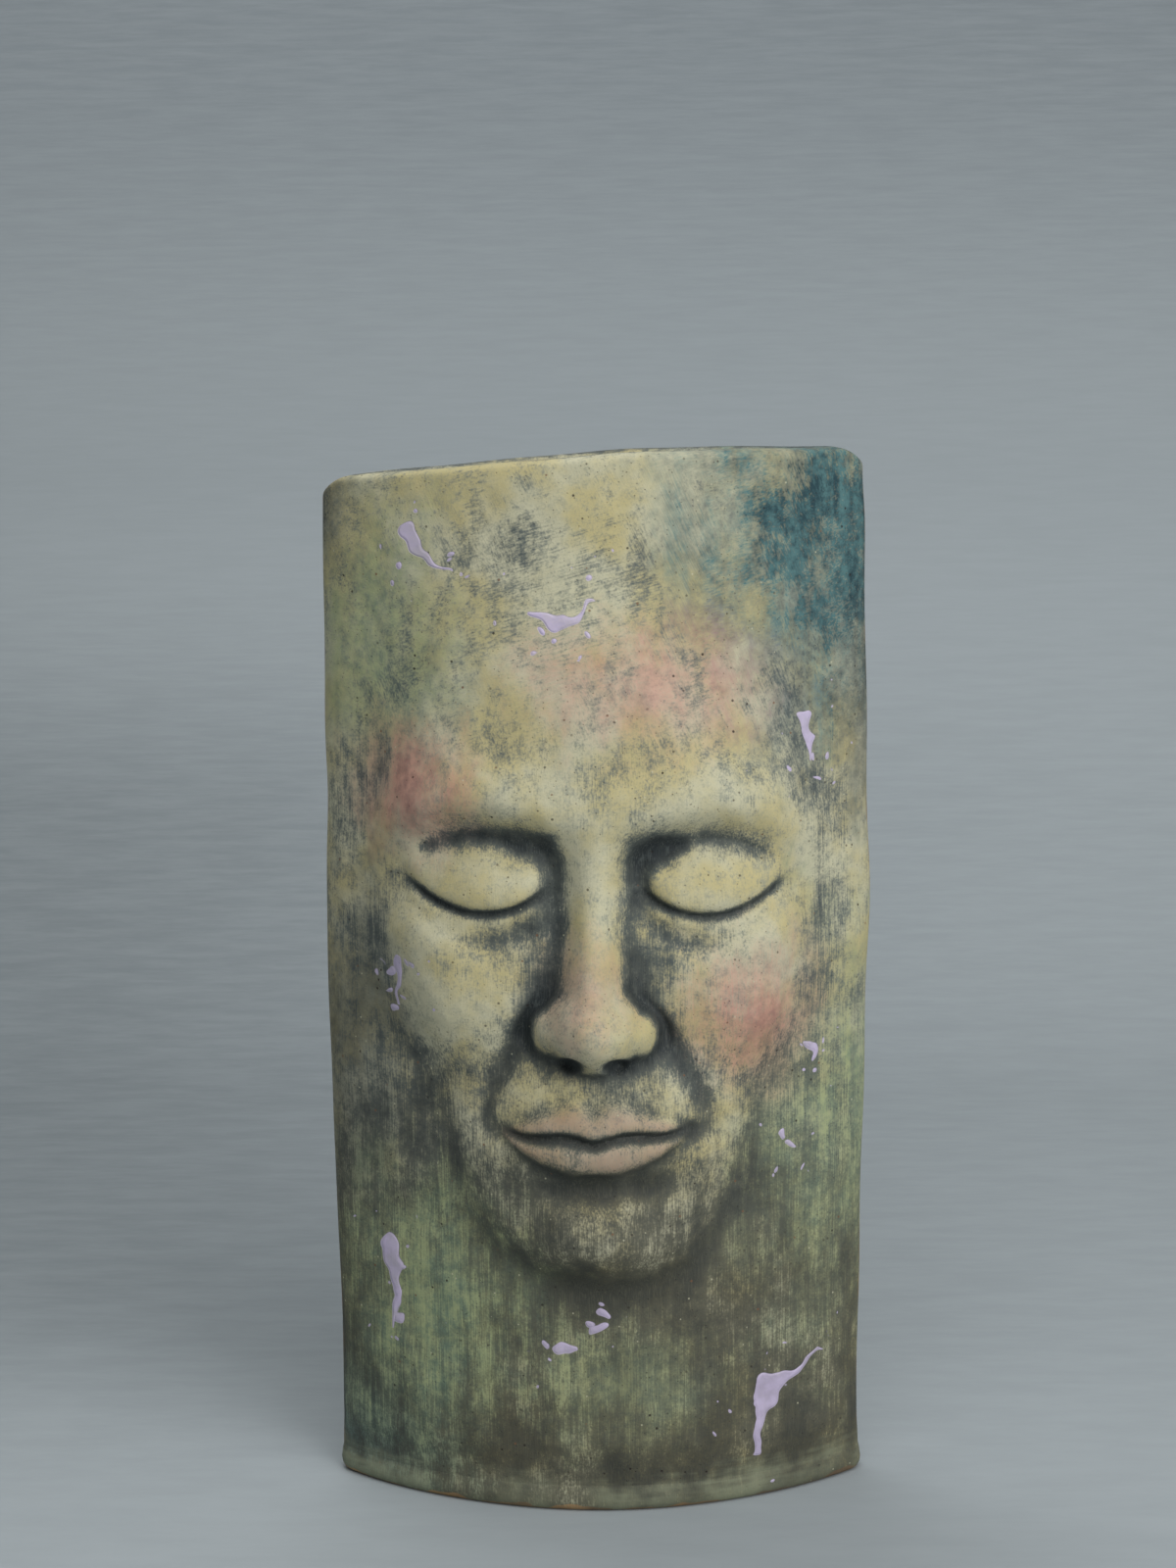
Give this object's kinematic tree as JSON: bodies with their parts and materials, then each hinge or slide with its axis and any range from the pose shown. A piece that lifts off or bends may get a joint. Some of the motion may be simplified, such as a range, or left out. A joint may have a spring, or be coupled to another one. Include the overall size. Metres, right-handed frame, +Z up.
{
  "type": "face vase",
  "caption": "Tall slab-built ceramic flower vase with a lens-shaped plan, a hand-cut rim and a calm face in relief on the front; holds cut or dried stems.",
  "frame": {"origin": "on the table, under the middle of the vase's lens-shaped plan", "axes": "+Z up; the face looks along -Y; +X runs along the seam plane to a viewer's right"},
  "size_m": [0.14, 0.0811, 0.2735],
  "materials": {
    "painted_clay": "matte cream and ochre slip with dark wash in the recesses and soft colour clouds",
    "bare_clay": "matte unglazed brown stoneware",
    "inner_glaze": "satin cream liner glaze"
  },
  "bodies": {
    "root": {"front_wall": "painted_clay", "back_wall": "painted_clay", "base_slab": "bare_clay", "left_seam_coil": "bare_clay", "right_seam_coil": "bare_clay", "base_seam_coil": "bare_clay", "inner_glaze": "inner_glaze", "left_brow": "painted_clay", "right_brow": "painted_clay", "nose": "painted_clay", "left_nostril_wing": "painted_clay", "right_nostril_wing": "painted_clay", "left_upper_lid": "painted_clay", "right_upper_lid": "painted_clay", "left_lower_lid": "painted_clay", "right_lower_lid": "painted_clay", "left_cheek": "painted_clay", "right_cheek": "painted_clay", "mouth_mound": "painted_clay", "upper_lip": "painted_clay", "lower_lip": "painted_clay", "chin": "painted_clay"}
  },
  "joints": []
}
